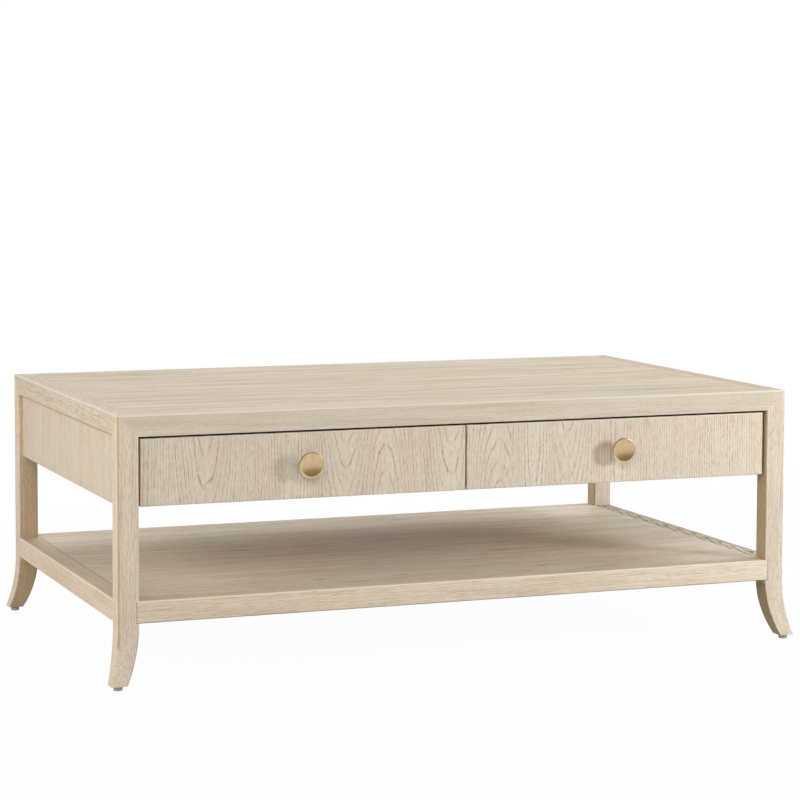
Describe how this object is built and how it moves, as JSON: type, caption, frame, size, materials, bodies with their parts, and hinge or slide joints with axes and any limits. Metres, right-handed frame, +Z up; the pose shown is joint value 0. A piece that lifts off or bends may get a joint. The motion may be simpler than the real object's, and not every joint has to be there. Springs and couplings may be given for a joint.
{
  "type": "coffee table",
  "caption": "Rectangular low table with a mitred top, side-by-side drawers with round knobs in the apron, an open shelf below and sabre feet that sweep outwards.",
  "frame": {"origin": "on the floor under the middle of the table top", "axes": "+Z up; +Y from the drawer side to the back; +X to the right as seen from the drawer side, along the table's length"},
  "size_m": [1.302, 0.796, 0.463],
  "materials": {
    "oak_solid": "bleached oak, matt lacquer, grain along each member",
    "oak_field": "bleached oak veneer, matt lacquer, grain along the table",
    "oak_panel": "bleached oak veneer, matt lacquer, grain upright",
    "oak_face": "bleached oak veneer with cathedral figure, grain upright",
    "inner_wood": "plain sanded hardwood",
    "drawer_wood": "clear lacquered hardwood",
    "plywood": "clear lacquered plywood",
    "beech": "plain beech",
    "brass": "satin brushed brass, clear lacquered",
    "zinc_steel": "bright zinc plate",
    "ball_steel": "polished steel",
    "glide_grey": "grey nylon"
  },
  "bodies": {
    "frame": {"leg_front_left": "oak_solid", "leg_front_right": "oak_solid", "leg_back_left": "oak_solid", "leg_back_right": "oak_solid", "top_rail_front": "oak_solid", "top_rail_back": "oak_solid", "top_rail_left": "oak_solid", "top_rail_right": "oak_solid", "shelf_edge_front": "oak_solid", "shelf_edge_back": "oak_solid", "shelf_edge_left": "oak_solid", "shelf_edge_right": "oak_solid", "top_field": "oak_field", "shelf_field": "oak_field", "side_panel_left": "oak_panel", "side_panel_right": "oak_panel", "back_panel": "oak_panel", "centre_divider": "inner_wood", "slide_batten_left": "inner_wood", "slide_batten_right": "inner_wood", "corner_blocks": "inner_wood", "top_splines": "beech", "shelf_splines": "beech", "dowels": "beech", "block_screws": "zinc_steel", "foot_glides": "glide_grey", "slide_outer_members": "zinc_steel", "slide_carcass_screws": "zinc_steel"},
    "drawer_left": {"drawer_left_face": "oak_face", "drawer_left_knob": "brass", "drawer_left_knob_screw": "zinc_steel", "drawer_left_face_screws": "zinc_steel", "drawer_left_box_front": "drawer_wood", "drawer_left_box_back": "drawer_wood", "drawer_left_side_left": "drawer_wood", "drawer_left_side_right": "drawer_wood", "drawer_left_bottom": "plywood", "drawer_left_slide_inner_members": "zinc_steel", "drawer_left_slide_screws": "zinc_steel"},
    "slide_middle_left": {"drawer_left_slide_middle_members": "zinc_steel"},
    "outer_balls_left": {"drawer_left_slide_outer_balls": "ball_steel", "drawer_left_slide_outer_retainers": "zinc_steel"},
    "inner_balls_left": {"drawer_left_slide_inner_balls": "ball_steel", "drawer_left_slide_inner_retainers": "zinc_steel"},
    "drawer_right": {"drawer_right_face": "oak_face", "drawer_right_knob": "brass", "drawer_right_knob_screw": "zinc_steel", "drawer_right_face_screws": "zinc_steel", "drawer_right_box_front": "drawer_wood", "drawer_right_box_back": "drawer_wood", "drawer_right_side_left": "drawer_wood", "drawer_right_side_right": "drawer_wood", "drawer_right_bottom": "plywood", "drawer_right_slide_inner_members": "zinc_steel", "drawer_right_slide_screws": "zinc_steel"},
    "slide_middle_right": {"drawer_right_slide_middle_members": "zinc_steel"},
    "outer_balls_right": {"drawer_right_slide_outer_balls": "ball_steel", "drawer_right_slide_outer_retainers": "zinc_steel"},
    "inner_balls_right": {"drawer_right_slide_inner_balls": "ball_steel", "drawer_right_slide_inner_retainers": "zinc_steel"}
  },
  "joints": [
    {"name": "drawer_left_slide", "type": "slide", "parent": "frame", "child": "drawer_left", "axis": [0, -1, 0], "range_m": [0, 0.5]},
    {"name": "slide_middle_left_slide", "type": "slide", "parent": "frame", "child": "slide_middle_left", "axis": [0, -1, 0], "range_m": [0, 0.25]},
    {"name": "outer_balls_left_slide", "type": "slide", "parent": "frame", "child": "outer_balls_left", "axis": [0, -1, 0], "range_m": [0, 0.125]},
    {"name": "inner_balls_left_slide", "type": "slide", "parent": "frame", "child": "inner_balls_left", "axis": [0, -1, 0], "range_m": [0, 0.375]},
    {"name": "drawer_right_slide", "type": "slide", "parent": "frame", "child": "drawer_right", "axis": [0, -1, 0], "range_m": [0, 0.5]},
    {"name": "slide_middle_right_slide", "type": "slide", "parent": "frame", "child": "slide_middle_right", "axis": [0, -1, 0], "range_m": [0, 0.25]},
    {"name": "outer_balls_right_slide", "type": "slide", "parent": "frame", "child": "outer_balls_right", "axis": [0, -1, 0], "range_m": [0, 0.125]},
    {"name": "inner_balls_right_slide", "type": "slide", "parent": "frame", "child": "inner_balls_right", "axis": [0, -1, 0], "range_m": [0, 0.375]}
  ],
  "couplings": [
    {"joint": "slide_middle_left_slide", "follows": "drawer_left_slide", "ratio": 0.5},
    {"joint": "outer_balls_left_slide", "follows": "drawer_left_slide", "ratio": 0.25},
    {"joint": "inner_balls_left_slide", "follows": "drawer_left_slide", "ratio": 0.75},
    {"joint": "slide_middle_right_slide", "follows": "drawer_right_slide", "ratio": 0.5},
    {"joint": "outer_balls_right_slide", "follows": "drawer_right_slide", "ratio": 0.25},
    {"joint": "inner_balls_right_slide", "follows": "drawer_right_slide", "ratio": 0.75}
  ]
}
